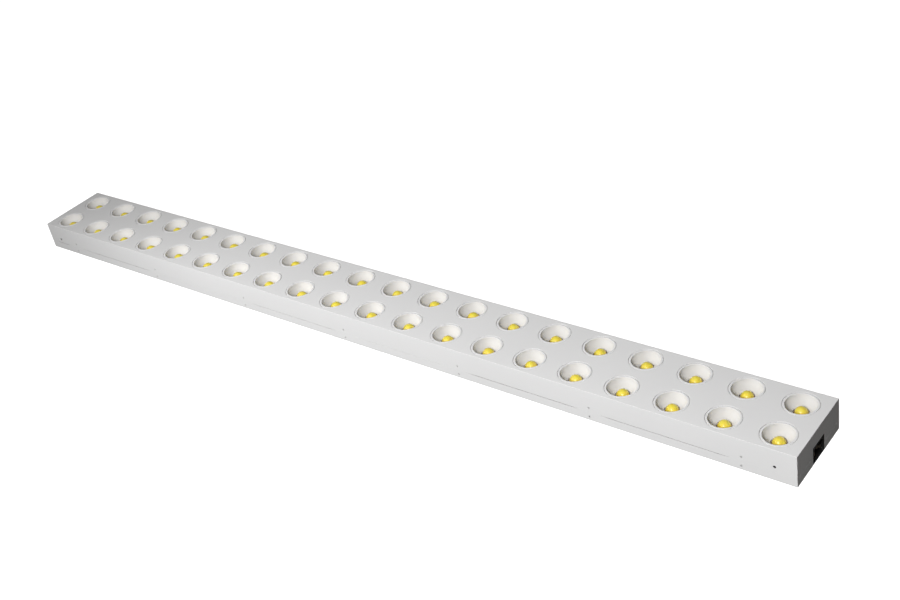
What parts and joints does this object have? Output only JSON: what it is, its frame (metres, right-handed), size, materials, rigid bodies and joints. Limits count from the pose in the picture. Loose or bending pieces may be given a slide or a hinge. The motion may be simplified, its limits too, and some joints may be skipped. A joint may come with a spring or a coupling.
{
  "type": "led strip batten",
  "caption": "Long slim white LED strip batten with two rows of round reflector bowls, yellow domed LEDs, a folded sheet housing and a mains inlet in one end.",
  "frame": {"origin": "centre of the back face, which is the bottom centre of the bounding box", "axes": "+X along the batten towards the end with the mains inlet, +Y across it, +Z out of the lit face"},
  "size_m": [1.2, 0.1, 0.04],
  "materials": {
    "housing_white": "fine powder coat, semi-matt",
    "zinc_steel": "zinc plated",
    "rivet_steel": "dull",
    "blackened_steel": "black oxide",
    "reflector_white": "smooth moulded, satin",
    "led_carrier_white": "ceramic-filled, matt",
    "phosphor_yellow": "glossy silicone dome",
    "board_white": "white solder mask on metal core",
    "spreader_aluminium": "mill finish",
    "driver_case_metal": "matt sheet",
    "circuit_board_green": "solder mask",
    "coil_tape_amber": "tape wrapped",
    "capacitor_black": "sleeved",
    "inlet_black": "fine moulded",
    "pin_nickel": "nickel plated",
    "terminal_natural": "moulded",
    "connector_white": "moulded",
    "lead_brown": "wire insulation",
    "lead_blue": "wire insulation",
    "lead_green": "wire insulation",
    "lead_red": "wire insulation",
    "insulation_paper": "pressed paper",
    "grommet_rubber": "matt",
    "clip_nylon": "moulded"
  },
  "bodies": {
    "root": {"front_tray": "housing_white", "rear_tray": "housing_white", "joint_plates": "zinc_steel", "joint_rivets": "rivet_steel", "mounting_nuts": "blackened_steel", "heat_spreader": "spreader_aluminium", "support_posts": "zinc_steel", "post_screws": "zinc_steel", "board_screws": "zinc_steel", "board_connectors": "connector_white", "wire_grommets": "grommet_rubber", "feed_terminals": "connector_white", "insulation_sheets": "insulation_paper", "tray_studs": "zinc_steel", "driver_nuts": "zinc_steel", "inlet_body": "inlet_black", "inlet_pins": "pin_nickel", "inlet_bracket": "zinc_steel", "inlet_studs": "zinc_steel", "inlet_nuts": "zinc_steel", "terminal_block": "terminal_natural", "terminal_screws": "zinc_steel", "live_leads": "lead_brown", "neutral_leads": "lead_blue", "earth_lead": "lead_green", "ring_terminal": "pin_nickel", "earth_nut": "zinc_steel", "output_leads": "lead_red", "cable_clips": "clip_nylon", "led_board_1": "board_white", "led_reflectors_1": "reflector_white", "led_emitters_1": "led_carrier_white", "led_domes_1": "phosphor_yellow", "led_board_2": "board_white", "led_reflectors_2": "reflector_white", "led_emitters_2": "led_carrier_white", "led_domes_2": "phosphor_yellow", "led_board_3": "board_white", "led_reflectors_3": "reflector_white", "led_emitters_3": "led_carrier_white", "led_domes_3": "phosphor_yellow", "led_board_4": "board_white", "led_reflectors_4": "reflector_white", "led_emitters_4": "led_carrier_white", "led_domes_4": "phosphor_yellow", "led_board_5": "board_white", "led_reflectors_5": "reflector_white", "led_emitters_5": "led_carrier_white", "led_domes_5": "phosphor_yellow", "driver_1_base": "driver_case_metal", "driver_1_cover": "driver_case_metal", "driver_1_board": "circuit_board_green", "driver_1_transformer": "coil_tape_amber", "driver_1_capacitors": "capacitor_black", "driver_2_base": "driver_case_metal", "driver_2_cover": "driver_case_metal", "driver_2_board": "circuit_board_green", "driver_2_transformer": "coil_tape_amber", "driver_2_capacitors": "capacitor_black"}
  },
  "joints": []
}
